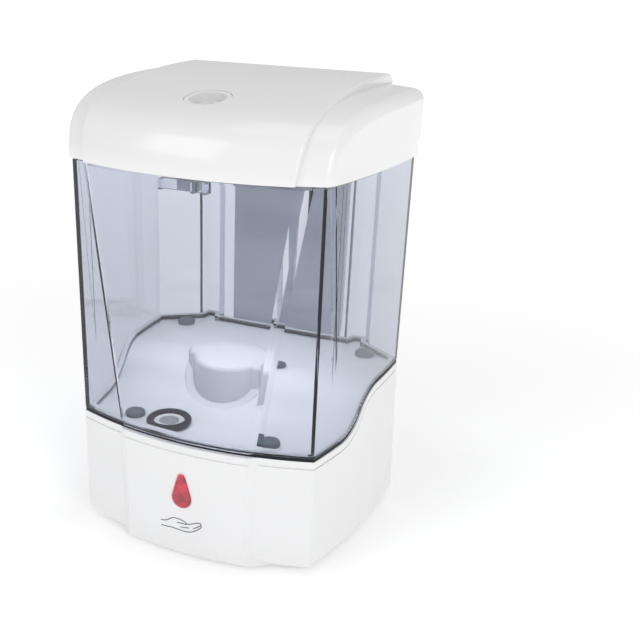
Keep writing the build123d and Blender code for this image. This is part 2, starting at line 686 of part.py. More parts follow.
def pump_cover():
    """Lid of the pump head, carrying the rotor's upper bearing and the motor."""
    z = HEAD_Z[1] + 0.1
    seat_z = MOTOR_Z[0] - 2.0
    plate = rod(ROTOR_X, ROTOR_Y, z, z + 2, HEAD_R)
    plate -= rod(ROTOR_X, ROTOR_Y, z - 1, z + 3, SHAFT_R + 0.06)
    seat = rod(*DOME, seat_z, MOTOR_Z[0], MOTOR_R + 0.6)
    seat -= rod(*DOME, seat_z - 1, MOTOR_Z[0] + 1, 3.4)
    for spread in (-75, 0, 75):
        t = math.radians(mesh_angle() + spread)
        x, y = DOME[0] + 11.2 * math.cos(t), DOME[1] + 11.2 * math.sin(t)
        seat += rod(x, y, z, seat_z + 1, 1.7) + hull_bar(x, y, z)
    return plate + seat


def hull_bar(x, y, z):
    """Flat arm from the pump cover's rim to a post."""
    dx, dy = x - ROTOR_X, y - ROTOR_Y
    length, angle = math.hypot(dx, dy), math.degrees(math.atan2(dy, dx))
    start = HEAD_R - 4
    arm = Box(max(length - start, 1) + 2, 3.4, 2.0)
    middle = start + (max(length - start, 1)) / 2
    return Pos(ROTOR_X, ROTOR_Y, z + 1) * Rot(0, 0, angle) * Pos(middle, 0, 0) * arm


DISC_GAP = 5.6


def rotor():
    """Rotor: shaft with two discs that carry the rollers between them."""
    half = DISC_GAP / 2
    body = rod(ROTOR_X, ROTOR_Y, HEAD_Z[0] + 1.2, GEAR_Z + 4.3, SHAFT_R)
    for z in (LOOP_Z - half - 1.2, LOOP_Z + half):
        body += rod(ROTOR_X, ROTOR_Y, z, z + 1.2, 10.2)
    for x, y in roller_places():
        body -= rod(x, y, LOOP_Z - half - 2, LOOP_Z + half + 2, 0.8)
    return body


def roller(place):
    return rod(*place, LOOP_Z - 2.5, LOOP_Z + 2.5, ROLLER_R) - rod(*place, LOOP_Z - 4, LOOP_Z + 4, 0.86)


def roller_pins():
    half = DISC_GAP / 2 + 1.2
    return group([rod(x, y, LOOP_Z - half, LOOP_Z + half, 0.8) for x, y in roller_places()])


def roller_places():
    spots = []
    for i in range(ROLLER_COUNT):
        t = math.radians(90 + i * 360 / ROLLER_COUNT)
        spots.append((ROTOR_X + ROLLER_AXIS_R * math.cos(t), ROTOR_Y + ROLLER_AXIS_R * math.sin(t)))
    return spots


def drive_gear():
    wheel = gear(GEAR_TEETH, 4.0, mesh_angle() + 180 / GEAR_TEETH, SHAFT_R)
    return Pos(ROTOR_X, ROTOR_Y, GEAR_Z) * wheel


def motor_pinion():
    """Motor shaft with its pinion."""
    wheel = gear(PINION_TEETH, 4.4, mesh_angle() + 180, 0.9)
    return Pos(DOME[0], DOME[1], GEAR_Z - 0.2) * wheel


def motor_shaft():
    return rod(*DOME, GEAR_Z - 0.2, MOTOR_Z[0] + 3, 0.9)


def motor():
    """Motor can with its front boss."""
    z0, z1 = MOTOR_Z
    x0, y0 = DOME
    can = rod(*DOME, z0, z1, MOTOR_R)
    can = chamfer(can.faces().sort_by(Axis.Z)[-1].edges(), 1.0)
    can = can + rod(*DOME, z0 - 1.6, z0, 3.0) - rod(*DOME, z0 - 3, z0 + 4, 0.96)
    for x in (x0 - 7.5, x0 + 7.5):
        can += block(x - 1, x + 1, y0 - 0.2, y0 + 0.2, z1 - 0.5, z1 + 1.3)
    return can


def nozzle():
    """Dispensing nozzle under the front of the base."""
    body = rod(0, NOZZLE_Y, -1.5, 4.6, 6.0) + rod(0, NOZZLE_Y, 2.6, 4.6, 7.4)
    body = chamfer(body.faces().sort_by(Axis.Z)[0].edges(), 1.0)
    body += rod(0, NOZZLE_Y, 4.4, 10.5, TUBE_BORE)
    body -= rod(0, NOZZLE_Y, -3, 3, 2.0)
    return body - rod(0, NOZZLE_Y, 2, 12, 0.9)


def outlet_fitting():
    """Spout through the tank floor and deck that the pump tube pushes onto."""
    top = floor_height(PORT[1])
    body = rod(*PORT, 47.0, top + 1.0, 5.3)
    body += rod(*PORT, top, top + 1.4, 6.4)
    body -= rod(*PORT, top - 3.0, top + 2, 4.3)
    body += rod(*PORT, 40.5, 47.2, TUBE_BORE)
    return body - rod(*PORT, 39, top, 0.9)


def outlet_o_ring():
    top = floor_height(PORT[1])
    return Pos(PORT[0], PORT[1], top + 1.5) * Torus(8.1, 1.5)


# ---- fasteners and plugs ----
def screw(x, y, z_head, length, head_r, shank_r, up=True):
    """A pan-head screw, its head's underside at z_head, its shank running down (or up)."""
    sign = -1 if up else 1
    shank = rod(x, y, min(z_head, z_head + sign * length), max(z_head, z_head + sign * length), shank_r)
    head = rod(x, y, min(z_head, z_head - sign * 1.2), max(z_head, z_head - sign * 1.2), head_r)
    face_z = z_head - sign * 1.2
    slot = Pos(x, y, face_z) * (Box(head_r * 1.2, 0.6, 0.9) + Box(0.6, head_r * 1.2, 0.9))
    return head + shank - slot


def tank_screws():
    return group([screw(x, y, floor_height(y), 12, 3.0, 1.25) for x, y in screw_places()])


def screw_plugs():
    plugs = []
    for x, y in screw_places():
        z = floor_height(y)
        cap = rod(x, y, z, z + 2.0, 4.3)
        cap = fillet(cap.faces().sort_by(Axis.Z)[-1].edges(), 0.8)
        plugs.append(cap - rod(x, y, z - 1, z + 1.3, 3.1))
    return group(plugs)


def floor_plug():
    """Small dark plug in the tank floor beside the dome."""
    top = SEAM_HIGH - 1.25
    return rod(*FLOOR_PLUG, top, top + 1.1, 2.9) + rod(*FLOOR_PLUG, top - 2.2, top + 0.5, 1.9)


def bottom_screws():
    return group([screw(x, y, 1.5, 12, 2.7, 1.15, up=False) for x, y in cover_screw_places()])


def back_screws():
    screws = []
    for x, z in back_screw_places():
        one = screw(0, 0, 0, 9, 2.7, 1.15)
        screws.append(Pos(x, WEB_Y[1], z) * Rot(-90, 0, 0) * one)
    return group(screws)


def back_posts():
    """Four posts inside the base, tied to its sides, that the back cover screws into."""
    posts = None
    for x, z in back_screw_places():
        post = rod_y(x, z, -19.0, WEB_Y[0] - 0.1, 3.2) - rod_y(x, z, -18.5, 0, 1.15)
        side = math.copysign(WIDEST[0], x)
        rib = block(min(x, side), max(x, side), -19.0, -17.2, z - 2, z + 2)
        rib -= rod_y(x, z, -18.5, 0, 1.15)
        posts = post + rib if posts is None else posts + post + rib
    return posts


# ---- batteries ----
DOOR_X = (-31.2, 31.2)
DOOR_Y = (-27.2, -9.2)
DOOR_GAP = 0.3
DOOR_PIN = (-11.0, 1.9)


def cell_places():
    return [(CELL_PITCH * (i - 1.5), CELL_Y) for i in range(4)]


def battery_case():
    """Open-bottomed box for four upright cells."""
    outer = block(-31.8, 31.8, -27.0, -8.8, 3.8, 61.5) + block(-31.8, 31.8, -29.5, -26.5, COVER_T, 6.5)
    inner = block(-30.4, 30.4, -25.6, -10.1, 2.0, 60.2)
    return outer - inner


def batteries():
    cells = []
    for x, y in cell_places():
        can = rod(x, y, CELL_Z, CELL_Z + CELL_LENGTH - 1.0, CELL_R)
        can = chamfer(can.edges().filter_by(GeomType.CIRCLE), 0.5)
        cells.append(can + rod(x, y, CELL_Z + CELL_LENGTH - 1.5, CELL_Z + CELL_LENGTH, 2.7))
    return group(cells)


def battery_springs():
    """Coil contacts above two of the cells."""
    top = 59.6
    return group([
        coil(x, y, CELL_Z + CELL_LENGTH + 0.02, top, 3.6, 0.35, 2.5) for x, y in cell_places()[::2]
    ])


def contact_plates():
    """Spring steel strips across the top of the case, each joining two cells."""
    strips = []
    for i in (0, 2):
        x0, x1 = cell_places()[i][0], cell_places()[i + 1][0]
        strips.append(block(x0 - 5, x1 + 5, CELL_Y - 5, CELL_Y + 5, 59.65, 60.15))
    return group(strips)


def battery_door():
    """Hinged door under the batteries, with a finger lip."""
    x0, x1 = DOOR_X[0] + DOOR_GAP, DOOR_X[1] - DOOR_GAP
    y0 = DOOR_Y[0] + DOOR_GAP
    door = block(x0, x1, y0, DOOR_PIN[0] - 0.3, 0.6, COVER_T)
    door += rod_x(x0, x1, *DOOR_PIN, 1.3)
    door += block(-8, 8, y0 + 2.0, y0 + 3.0, 2.0, 5.2)
    for x in (-15, 0, 15):
        door -= block(x - 0.5, x + 0.5, y0 + 3, y0 + 10, 0, 1.0)
    return door - rod_x(x0 - 1, x1 + 1, *DOOR_PIN, 0.66)


def door_pin():
    return rod_x(DOOR_X[0] - 1.2, DOOR_X[1] + 1.2, *DOOR_PIN, 0.6)


def door_contacts():
    """Contact strips on the door."""
    x = [place[0] for place in cell_places()]
    strips = []
    for first, last in ((x[0], x[0]), (x[1], x[2]), (x[3], x[3])):
        strip = block(first - 4, last + 4, CELL_Y - 3.5, CELL_Y + 3.5, COVER_T, COVER_T + 0.5)
        for place in {first, last}:
            strip += block(place - 2, place + 2, CELL_Y - 2, CELL_Y + 2, COVER_T, CELL_Z - 0.05)
        strips.append(strip)
    return group(strips)


def door_lugs():
    """Eyes on the bottom cover that hold the door's pin."""
    both = pair(block(31.3, 33.4, DOOR_PIN[0] - 1.7, DOOR_PIN[0] + 1.2, 0.6, 3.6))
    return both[0] + both[1]


# ---- electronics ----
SWITCH_X = 44.0
SWITCH_Y = -52.0
SWITCH_TRAVEL = 3.0
SWITCH_SLOT_X = (SWITCH_X - 2.1, SWITCH_X + 2.1)
SWITCH_SLOT_Y = (SWITCH_Y - 4.6, SWITCH_Y + 4.6)


def switch_body():
    body = block(SWITCH_X - 3.5, SWITCH_X + 3.5, SWITCH_Y - 8, SWITCH_Y + 8, COVER_T, 9.0)
    return body - block(SWITCH_X - 2.6, SWITCH_X + 2.6, SWITCH_Y - 6, SWITCH_Y + 6, 0, 7.0)


def switch_slider():
    """Power switch slider, resting at its off end."""
    y = SWITCH_Y - SWITCH_TRAVEL / 2
    knob = block(SWITCH_X - 1.8, SWITCH_X + 1.8, y - 2.8, y + 2.8, 0.0, 5.0)
    for step in (-1.6, 0, 1.6):
        knob -= block(SWITCH_X - 3, SWITCH_X + 3, y + step - 0.3, y + step + 0.3, -1, 0.5)
    return knob + block(SWITCH_X - 2.3, SWITCH_X + 2.3, y - 4.2, y + 4.2, 4.8, 6.6)


def main_board():
    return block(-50.0, -24.0, -62.0, -34.0, 30.0, 31.6)


def board_parts():
    """Controller chip, capacitor and connector on the main board."""
    chip = block(-44, -36, -54, -46, 31.6, 33.2)
    can = rod(-30, -40, 31.6, 40, 3.2)
    plug = block(-47, -39, -42, -37, 31.6, 36)
    return group([chip, can, plug])


def board_posts():
    """Posts that carry the main board, standing on the bottom cover."""
    posts = None
    for x, y in ((-47.5, -59.5), (-47.5, -36.5), (-26.5, -36.5)):
        post = rod(x, y, COVER_T - 0.5, 30.0, 2.2)
        posts = post if posts is None else posts + post
    return posts


def sensor_board():
    return block(-14, 14, -83.0, -74.5, 9.4, 10.6)


def infrared_led(x):
    return rod(x, -79.0, 4.2, 9.4, 2.0)


def sensor_window():
    return block(-12.8, 12.8, -82.1, -75.9, 0.6, 2.6) + block(-13.8, 13.8, -83.1, -74.9, 2.6, 3.4)


def indicator_led():
    body = rod_y(0, 31.0, -101.0, -97.5, 2.5) + rod_y(0, 31.0, -97.5, -96.5, 2.9)
    return body


def indicator_board():
    return block(-9, 9, -96.4, -95.0, 25.0, 40.0)


def indicator_posts():
    """Two ribs behind the front panel that hold the indicator board."""
    rib = block(9.1, 11.0, -106.0, -94.5, 26.0, 39.0) - block(9.0, 10.0, -96.6, -94.8, 24.0, 40.2)
    both = pair(rib)
    return both[0] + both[1]


# ---- nodes ----
def nodes():
    """Every separate piece, by its node name."""
    shell = base_shell() + back_posts() + indicator_posts()
    cover = bottom_cover() + door_lugs() + board_posts() - door_pin()
    made = {
        "wall_bracket": wall_bracket(),
        "back_cover": back_cover(),
        "base_shell": shell,
        "bottom_cover": cover,
        "tank": tank(),
        "seam_seal": seam_seal(),
        "tank_screws": tank_screws(),
        "screw_plugs": screw_plugs(),
        "floor_plug": floor_plug(),
        "outlet_fitting": outlet_fitting(),
        "outlet_o_ring": outlet_o_ring(),
        "pump_tube": pump_tube(),
        "pump_housing": pump_housing(),
        "pump_cover": pump_cover(),
        "rotor": rotor(),
        "roller_pins": roller_pins(),
        "drive_gear": drive_gear(),
        "motor": motor(),
        "motor_shaft": motor_shaft(),
        "motor_pinion": motor_pinion(),
        "nozzle": nozzle(),
        "drop_lens": drop_lens(),
        "indicator_led": indicator_led(),
        "indicator_board": indicator_board(),
        "sensor_window": sensor_window(),
        "sensor_board": sensor_board(),
        "infrared_emitter": infrared_led(-7.0),
        "infrared_receiver": infrared_led(7.0),
        "main_board": main_board(),
        "board_parts": board_parts(),
        "switch_body": switch_body(),
        "switch_slider": switch_slider(),
        "battery_case": battery_case(),
        "batteries": batteries(),
        "battery_springs": battery_springs(),
        "contact_plates": contact_plates(),
        "battery_door": battery_door(),
        "door_contacts": door_contacts(),
        "door_pin": door_pin(),
        "bottom_screws": bottom_screws(),
        "back_screws": back_screws(),
        "lid": lid(),
        "lock_cup": lock_cup(),
        "latch_lever": latch_lever(),
        "latch_pin": rod_x(-7.4, 7.4, *LATCH_PIVOT, LATCH_PIN_R),
        "latch_spring": latch_spring(),
        "hinge_pins": group(pair(rod_x(LUG_X[0], EAR_X[1] + 1.0, HINGE_Y, HINGE_Z, PIN_R))),
    }
    for i, place in enumerate(roller_places(), start=1):
        made[f"roller_{i}"] = roller(place)
    return made


os.makedirs("parts", exist_ok=True)
for name, shape in nodes().items():
    export_step(Pos(0, -WALL_Y, -ORIGIN_Z) * shape, f"parts/{name}.step")
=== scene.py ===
import math

import bpy
from mathutils import Matrix, Vector


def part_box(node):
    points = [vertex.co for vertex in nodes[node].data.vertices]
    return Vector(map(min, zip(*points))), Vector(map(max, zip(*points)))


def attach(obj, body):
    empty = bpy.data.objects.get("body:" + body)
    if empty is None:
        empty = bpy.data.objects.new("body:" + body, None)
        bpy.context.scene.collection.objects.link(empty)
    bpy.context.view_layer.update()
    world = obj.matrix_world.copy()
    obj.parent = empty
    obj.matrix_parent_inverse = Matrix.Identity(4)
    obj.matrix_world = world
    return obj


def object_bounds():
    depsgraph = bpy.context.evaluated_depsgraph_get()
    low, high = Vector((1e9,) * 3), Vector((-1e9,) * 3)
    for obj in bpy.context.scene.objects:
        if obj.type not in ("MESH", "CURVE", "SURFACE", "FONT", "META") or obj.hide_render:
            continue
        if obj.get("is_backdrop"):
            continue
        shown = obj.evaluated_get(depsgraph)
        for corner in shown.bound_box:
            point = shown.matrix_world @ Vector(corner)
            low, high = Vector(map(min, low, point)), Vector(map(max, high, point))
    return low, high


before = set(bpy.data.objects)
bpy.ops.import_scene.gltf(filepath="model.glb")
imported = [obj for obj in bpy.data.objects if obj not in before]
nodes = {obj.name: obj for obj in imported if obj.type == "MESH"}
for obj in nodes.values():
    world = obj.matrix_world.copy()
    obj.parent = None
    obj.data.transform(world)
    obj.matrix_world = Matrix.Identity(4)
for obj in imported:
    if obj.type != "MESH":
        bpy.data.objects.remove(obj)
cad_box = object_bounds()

scene = bpy.context.scene


# ---------- material helpers ----------
def new_material(name):
    mat = bpy.data.materials.new(name)
    mat.use_nodes = True
    tree = mat.node_tree
    tree.nodes.clear()
    out = tree.nodes.new("ShaderNodeOutputMaterial")
    shader = tree.nodes.new("ShaderNodeBsdfPrincipled")
    tree.links.new(shader.outputs["BSDF"], out.inputs["Surface"])
    return mat, tree, shader


def noise(tree, scale, detail=3.0, rough=0.5, stretch=(1, 1, 1)):
    coords = tree.nodes.new("ShaderNodeTexCoord")
    mapping = tree.nodes.new("ShaderNodeMapping")
    mapping.inputs["Scale"].default_value = stretch
    tree.links.new(coords.outputs["Object"], mapping.inputs["Vector"])
    tex = tree.nodes.new("ShaderNodeTexNoise")
    tex.inputs["Scale"].default_value = scale
    tex.inputs["Detail"].default_value = detail
    tex.inputs["Roughness"].default_value = rough
    tree.links.new(mapping.outputs["Vector"], tex.inputs["Vector"])
    return tex.outputs["Fac"]


def remap(tree, value, low, high, start=0.3, end=0.7):
    """Maps the range from start to end onto the range from low to high."""
    node = tree.nodes.new("ShaderNodeMapRange")
    node.inputs["From Min"].default_value = start
    node.inputs["From Max"].default_value = end
    node.inputs["To Min"].default_value = low
    node.inputs["To Max"].default_value = high
    tree.links.new(value, node.inputs["Value"])
    return node.outputs["Result"]


def vary_colour(tree, shader, colour, value, amount):
    ramp = tree.nodes.new("ShaderNodeValToRGB")
    ramp.color_ramp.elements[0].position = 0.3
    ramp.color_ramp.elements[1].position = 0.7
    low = [max(0.0, c * (1 - amount)) for c in colour]
    high = [min(1.0, c * (1 + amount)) for c in colour]
    ramp.color_ramp.elements[0].color = (*low, 1)
    ramp.color_ramp.elements[1].color = (*high, 1)
    tree.links.new(value, ramp.inputs["Fac"])
    tree.links.new(ramp.outputs["Color"], shader.inputs["Base Color"])


def add_bump(tree, shader, value, depth):
    bump = tree.nodes.new("ShaderNodeBump")
    bump.inputs["Strength"].default_value = 1.0
    bump.inputs["Distance"].default_value = depth
    tree.links.new(value, bump.inputs["Height"])
    tree.links.new(bump.outputs["Normal"], shader.inputs["Normal"])


def solid(name, colour, rough=(0.25, 0.35), scale=900.0, depth=4e-6, vary=0.02, metal=0.0, coat=0.0,
          stretch=(1, 1, 1), spec=0.5, subsurface=0.0):
    """Opaque moulded, painted or metal surface with fine grain."""
    mat, tree, shader = new_material(name)
    fine = noise(tree, scale, 4.0, 0.6, stretch)
    broad = noise(tree, 28.0, 2.0)
    vary_colour(tree, shader, colour, broad, vary)
    tree.links.new(remap(tree, fine, *rough), shader.inputs["Roughness"])
    add_bump(tree, shader, fine, depth)
    shader.inputs["Metallic"].default_value = metal
    shader.inputs["Coat Weight"].default_value = coat
    shader.inputs["Coat Roughness"].default_value = 0.06
    shader.inputs["Specular IOR Level"].default_value = spec
    if subsurface:
        shader.inputs["Subsurface Weight"].default_value = subsurface
        shader.inputs["Subsurface Radius"].default_value = (0.002, 0.002, 0.002)
        shader.inputs["Subsurface Scale"].default_value = 1.0
    return mat


def clear(name, colour, rough, scale, depth, vary, ior, weight, coat=0.0):
    """Clear or tinted moulding with a faint waviness."""
    mat, tree, shader = new_material(name)
    wave = noise(tree, scale, 2.0)
    vary_colour(tree, shader, colour, wave, vary)
    tree.links.new(remap(tree, wave, *rough), shader.inputs["Roughness"])
    add_bump(tree, shader, wave, depth)
    shader.inputs["Transmission Weight"].default_value = weight
    shader.inputs["IOR"].default_value = ior
    shader.inputs["Coat Weight"].default_value = coat
    return mat


def math_node(tree, operation, first, second):
    """Joins two values, the second a socket or a plain number."""
    node = tree.nodes.new("ShaderNodeMath")
    node.operation = operation
    tree.links.new(first, node.inputs[0])
    if isinstance(second, (int, float)):
        node.inputs[1].default_value = second
    else:
        tree.links.new(second, node.inputs[1])
    return node.outputs["Value"]


# the tank's plastic
TANK_IOR = 1.47
TANK_SURFACE = (0.965, 0.972, 0.985)
TANK_DEPTH_COLOUR = (0.25, 0.32, 0.48, 1)
TANK_DENSITY = 122.0           # how fast its depth takes up light, per metre
SHADOW_TINT = (0.97, 0.98, 0.99, 1)

# its frosting
FROSTED = 0.45                 # how much light a fully frosted face still passes
FLAT_FROM, FLAT_FULL = 0.45, 0.6   # upward lean of a face where frosting starts, and where it is full
DOME_AXIS = (-0.005, -0.055)   # the dome on the tank's floor
DOME_REACH = 0.0205            # its own frosting ends at this distance from the axis
DOME_FADE = 0.001
DOME_STRICTER = 0.38           # on the dome a face has to lean up this much more to count as flat
DOME_FROST = 0.9               # frosting of the dome's other faces


def smoky_material():
    """Smoky clear plastic, tinted in its depth so that edges seen end on are dark, and frosted in places."""
    mat, tree, shader = new_material("smoky_clear_plastic")
    wave = noise(tree, 22.0, 2.0)
    vary_colour(tree, shader, TANK_SURFACE, wave, 0.01)
    tree.links.new(remap(tree, wave, 0.004, 0.02), shader.inputs["Roughness"])
    add_bump(tree, shader, wave, 2e-5)
    shader.inputs["IOR"].default_value = TANK_IOR

    # faces that look up are frosted, and so, a little less, is the whole dome
    coords = tree.nodes.new("ShaderNodeTexCoord")
    away = tree.nodes.new("ShaderNodeVectorMath")
    away.operation = "SUBTRACT"
    away.inputs[1].default_value = (*DOME_AXIS, 0)
    tree.links.new(coords.outputs["Object"], away.inputs[0])
    across = tree.nodes.new("ShaderNodeVectorMath")
    across.operation = "MULTIPLY"
    across.inputs[1].default_value = (1, 1, 0)
    tree.links.new(away.outputs["Vector"], across.inputs[0])
    reach = tree.nodes.new("ShaderNodeVectorMath")
    reach.operation = "LENGTH"
    tree.links.new(across.outputs["Vector"], reach.inputs[0])
    dome = remap(tree, reach.outputs["Value"], 0.0, 1.0, DOME_REACH + DOME_FADE, DOME_REACH)
    split = tree.nodes.new("ShaderNodeSeparateXYZ")
    tree.links.new(coords.outputs["Normal"], split.inputs["Vector"])
    stricter = math_node(tree, "MULTIPLY", dome, DOME_STRICTER)
    lean = math_node(tree, "SUBTRACT", split.outputs["Z"], stricter)
    flat = remap(tree, lean, 0.0, 1.0, FLAT_FROM, FLAT_FULL)
    frost = math_node(tree, "MAXIMUM", flat, math_node(tree, "MULTIPLY", dome, DOME_FROST))
    tree.links.new(remap(tree, frost, 1.0, FROSTED, 0.0, 1.0), shader.inputs["Transmission Weight"])

    depth = tree.nodes.new("ShaderNodeVolumeAbsorption")
    depth.inputs["Color"].default_value = TANK_DEPTH_COLOUR
    depth.inputs["Density"].default_value = TANK_DENSITY
    out = tree.nodes["Material Output"]
    tree.links.new(depth.outputs["Volume"], out.inputs["Volume"])

    # lamps shine through, so that what stands inside is lit
    path = tree.nodes.new("ShaderNodeLightPath")
    through = tree.nodes.new("ShaderNodeBsdfTransparent")
    through.inputs["Color"].default_value = SHADOW_TINT
    mix = tree.nodes.new("ShaderNodeMixShader")
    tree.links.new(path.outputs["Is Shadow Ray"], mix.inputs["Fac"])
    tree.links.new(shader.outputs["BSDF"], mix.inputs[1])
    tree.links.new(through.outputs["BSDF"], mix.inputs[2])
    tree.links.new(mix.outputs["Shader"], out.inputs["Surface"])
    return mat


# ---------- materials ----------
white = solid("glossy_white_abs", (0.81, 0.81, 0.813), (0.14, 0.22), 700.0, 2.5e-6, 0.008, coat=0.25)
white_satin = solid("satin_white_abs", (0.76, 0.762, 0.765), (0.38, 0.5), 1400.0, 9e-6, 0.015)
smoky = smoky_material()
seal_dark = solid("dark_elastomer", (0.006, 0.008, 0.014), (0.4, 0.55), 1500.0, 8e-6, 0.1, spec=0.25)
plug_grey = solid("blue_grey_plug", (0.08, 0.10, 0.13), (0.3, 0.42), 1300.0, 6e-6, 0.06)
silicone = clear("translucent_silicone", (0.88, 0.88, 0.85), (0.28, 0.38), 60.0, 1e-5, 0.02, 1.41, 0.55)
pump_grey = solid("satin_light_grey", (0.60, 0.61, 0.63), (0.4, 0.52), 1300.0, 9e-6, 0.02)
acetal = solid("natural_acetal", (0.76, 0.74, 0.68), (0.34, 0.45), 1100.0, 7e-6, 0.02, subsurface=0.1)
steel = solid("drawn_steel", (0.60, 0.61, 0.63), (0.2, 0.34), 1500.0, 5e-6, 0.05, metal=1.0,
              stretch=(1, 1, 0.15))
plated = solid("plated_motor_can", (0.56, 0.57, 0.58), (0.26, 0.38), 900.0, 6e-6, 0.04, metal=1.0,
               stretch=(1, 1, 0.1))
coated = solid("grey_powder_coat", (0.74, 0.75, 0.77), (0.42, 0.56), 2200.0, 2.2e-5, 0.03)
brass = solid("machined_brass", (0.72, 0.52, 0.22), (0.18, 0.3), 1200.0, 5e-6, 0.05, metal=1.0)
red = clear("red_lens", (0.62, 0.008, 0.04), (0.03, 0.06), 260.0, 1.2e-4, 0.6, 1.5, 0.35, coat=1.0)
led_clear = clear("led_epoxy", (0.85, 0.55, 0.55), (0.04, 0.08), 60.0, 1e-5, 0.03, 1.5, 0.8)
ir_black = solid("infrared_black", (0.012, 0.008, 0.014), (0.06, 0.12), 300.0, 2e-6, 0.1, coat=0.4)
board = solid("green_board", (0.012, 0.11, 0.045), (0.26, 0.4), 1000.0, 1.2e-5, 0.18)
chips = solid("moulded_components", (0.028, 0.028, 0.031), (0.4, 0.55), 1500.0, 1e-5, 0.12)
dark_nylon = solid("dark_nylon", (0.035, 0.035, 0.038), (0.42, 0.56), 1500.0, 1e-5, 0.1)
ink = solid("grey_print_ink", (0.10, 0.10, 0.11), (0.45, 0.6), 1500.0, 3e-6, 0.06)
# pale pink: a painted glow of the red lens and painted shade of the slight recess round it
painted_lens_glow = solid("painted_lens_glow_ring", (0.86, 0.60, 0.62), (0.16, 0.24), 900.0, 3e-6, 0.03, coat=0.3)


# places along a battery, from its lower to its upper end
BAND_START = 0.72
TIP_START = 0.965


def cell_material():
    """Dark printed sleeve with a metal-coloured band round the upper end."""
    mat, tree, shader = new_material("battery_sleeve")
    coords = tree.nodes.new("ShaderNodeTexCoord")
    split = tree.nodes.new("ShaderNodeSeparateXYZ")
    tree.links.new(coords.outputs["Object"], split.inputs["Vector"])
    low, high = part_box("batteries")
    place = remap(tree, split.outputs["Z"], 0.0, 1.0, low.z, high.z)
    ramp = tree.nodes.new("ShaderNodeValToRGB")
    ramp.color_ramp.interpolation = "CONSTANT"
    ramp.color_ramp.elements[0].color = (0.03, 0.035, 0.05, 1)
    ramp.color_ramp.elements[1].position = BAND_START
    ramp.color_ramp.elements[1].color = (0.55, 0.36, 0.12, 1)
    tip = ramp.color_ramp.elements.new(TIP_START)
    tip.color = (0.6, 0.6, 0.62, 1)
    tree.links.new(place, ramp.inputs["Fac"])
    tree.links.new(ramp.outputs["Color"], shader.inputs["Base Color"])
    fine = noise(tree, 900.0)
    tree.links.new(remap(tree, fine, 0.24, 0.36), shader.inputs["Roughness"])
    add_bump(tree, shader, fine, 4e-6)
    shader.inputs["Metallic"].default_value = 0.4
    return mat


finish = {
    "wall_bracket": coated, "back_cover": white_satin, "base_shell": white, "bottom_cover": white_satin,
    "tank": smoky, "seam_seal": seal_dark, "tank_screws": steel, "screw_plugs": plug_grey,
    "floor_plug": plug_grey, "outlet_fitting": pump_grey, "outlet_o_ring": seal_dark, "pump_tube": silicone,
    "pump_housing": pump_grey, "pump_cover": pump_grey, "rotor": acetal, "roller_pins": steel,
    "drive_gear": acetal, "motor": plated, "motor_shaft": steel, "motor_pinion": brass, "nozzle": plug_grey,
    "drop_lens": red, "indicator_led": led_clear, "indicator_board": board, "sensor_window": ir_black,
    "sensor_board": board, "infrared_emitter": led_clear, "infrared_receiver": ir_black, "main_board": board,
    "board_parts": chips, "switch_body": dark_nylon, "switch_slider": dark_nylon,
    "battery_case": white_satin, "batteries": cell_material(), "battery_springs": steel,
    "contact_plates": steel, "battery_door": white_satin, "door_contacts": steel, "door_pin": steel,
    "bottom_screws": steel, "back_screws": steel, "lid": white, "lock_cup": white,
    "latch_lever": white_satin,
    "latch_pin": steel, "latch_spring": steel, "hinge_pins": steel,
    "roller_1": acetal, "roller_2": acetal, "roller_3": acetal,
}
for name, node in nodes.items():
    node.data.materials.clear()
    node.data.materials.append(finish[name])


# ---------- printed hand, and a pink ring of painted glow and shade round the lens ---
shell_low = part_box("base_shell")[0]
lens_low, lens_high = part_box("drop_lens")
front = shell_low.y            # the raised panel's foremost point, on the centre line
base_z = shell_low.z
PANEL_BOW = 0.1567             # radius of the panel's bow
PRINT_RADIUS = 0.00028
GLOW_RING_RADIUS = 0.00035
GLOW_RING_SINK = 0.00015        # how far its middle lies below the panel
GLOW_RING_GAP = 0.00035         # from the lens to the middle of the ring of painted glow
LENS_TIP = 0.0017              # radius of the lens's upper end


def on_panel(x, z, proud=0.0):
    """A point on the front panel, x across from the centre and z up from the underside."""
    return Vector((x, front + PANEL_BOW - math.sqrt(PANEL_BOW**2 - x * x) - proud, base_z + z))


def line_piece(name, strokes, radius, proud, mat, closed=False):
    """Smooth round lines along strokes given in millimetres, their middle proud of the panel or below it."""
    curve = bpy.data.curves.new(name, "CURVE")
    curve.dimensions = "3D"
    curve.bevel_depth = radius
    curve.bevel_resolution = 2
    curve.resolution_u = 8
    curve.use_fill_caps = True
    for stroke in strokes:
        spline = curve.splines.new("NURBS")
        spline.points.add(len(stroke) - 1)
        for point, (x, z) in zip(spline.points, stroke):
            point.co = (*on_panel(x / 1000, z / 1000, proud), 1)
        spline.order_u = 3
        spline.use_endpoint_u = not closed
        spline.use_cyclic_u = closed
    piece = bpy.data.objects.new(name, curve)
    scene.collection.objects.link(piece)
    curve.materials.append(mat)
    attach(piece, "housing")


# an open palm held out under the drop
palm = [(-10.4, 15.2), (-8.4, 15.2), (-6.4, 16.6), (-4.6, 17.9), (-2.0, 18.2), (1.2, 17.6), (2.2, 16.9),
        (1.6, 16.2), (-0.6, 16.3), (-2.4, 16.0)]
finger = [(1.4, 16.2), (3.6, 16.7), (6.2, 17.8), (8.0, 18.5), (9.0, 18.3), (9.0, 17.5), (7.6, 16.4),
          (5.4, 15.0)]
low_edge = [(8.9, 17.4), (9.3, 16.9), (8.6, 15.9), (6.4, 14.2), (4.2, 12.9), (1.6, 12.5), (-2.2, 12.8),
            (-5.4, 13.0), (-7.8, 12.6), (-10.4, 12.6)]
crease = [(-0.8, 14.4), (1.4, 14.3), (3.4, 14.9)]
hand = [palm, finger, low_edge, crease]
line_piece("printed_hand", hand, PRINT_RADIUS, -PRINT_RADIUS / 2, ink)


